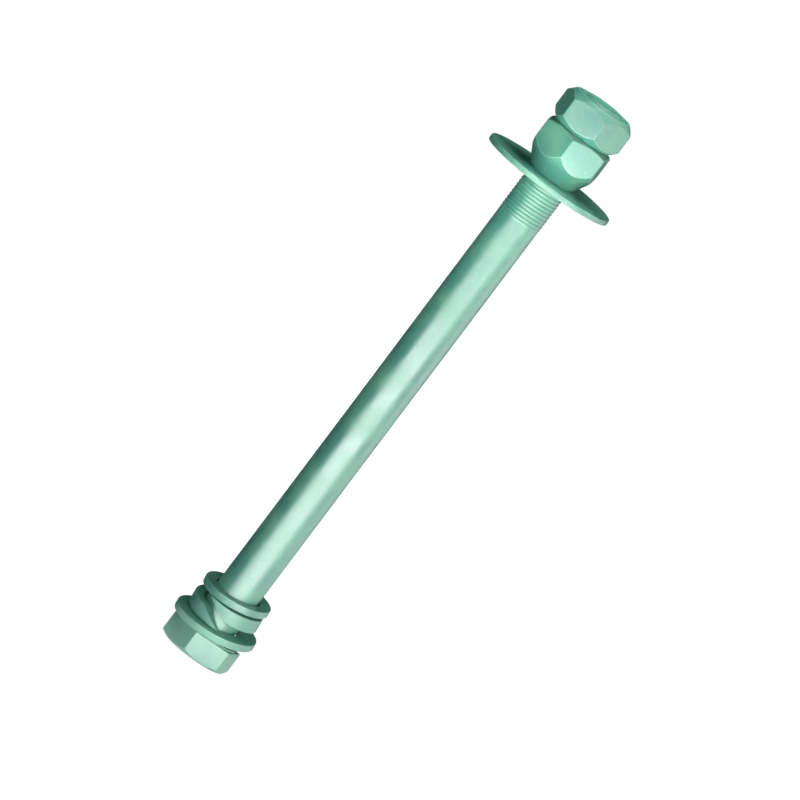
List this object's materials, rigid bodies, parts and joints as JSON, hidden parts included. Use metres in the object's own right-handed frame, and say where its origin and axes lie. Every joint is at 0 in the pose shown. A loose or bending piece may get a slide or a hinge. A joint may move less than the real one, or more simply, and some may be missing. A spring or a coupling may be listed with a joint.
{
  "type": "through-wall bolt",
  "caption": "Long hex-head bolt that clamps a wall between a flat, a split lock and a small washer at the head and a large plate washer under a tapered seat nut and a lock nut.",
  "frame": {"origin": "centre of the head's end face, on which the bolt stands", "axes": "+Z along the shank from the head to the nuts; -Y is the side seen in the picture, +X its right"},
  "size_m": [0.074, 0.074, 0.3507],
  "materials": {
    "bolt_coat": "satin",
    "washer_coat": "satin",
    "lock_washer_coat": "satin",
    "plate_coat": "satin",
    "nut_coat": "satin"
  },
  "bodies": {
    "bolt": {"hex_bolt": "bolt_coat"},
    "head_washer": {"head_washer": "washer_coat"},
    "lock_washer": {"lock_washer": "lock_washer_coat"},
    "small_washer": {"small_washer": "washer_coat"},
    "plate_washer": {"plate_washer": "plate_coat"},
    "seat_nut": {"seat_nut": "nut_coat"},
    "outer_nut": {"outer_nut": "nut_coat"}
  },
  "joints": [
    {"name": "head_washer_slide", "type": "slide", "parent": "bolt", "child": "head_washer", "axis": [0, 0, 1], "range_m": [0, 0.2]},
    {"name": "lock_washer_slide", "type": "slide", "parent": "head_washer", "child": "lock_washer", "axis": [0, 0, 1], "range_m": [0, 0.012]},
    {"name": "small_washer_slide", "type": "slide", "parent": "lock_washer", "child": "small_washer", "axis": [0, 0, 1], "range_m": [0, 0.012]},
    {"name": "plate_washer_travel", "type": "slide", "parent": "bolt", "child": "plate_washer", "axis": [0, 0, 1], "range_m": [-0.024, 0]},
    {"name": "seat_nut_turn", "type": "hinge", "parent": "plate_washer", "child": "seat_nut", "pos_m": [0, 0, 0.30469], "axis": [0, 0, 1], "range_deg": [-4320, 0]},
    {"name": "outer_nut_back_off", "type": "slide", "parent": "seat_nut", "child": "outer_nut", "axis": [0, 0, 1], "range_m": [0, 0.021]}
  ],
  "couplings": [
    {"joint": "seat_nut_turn", "follows": "plate_washer_travel", "rad_per_m": 3141.6}
  ]
}
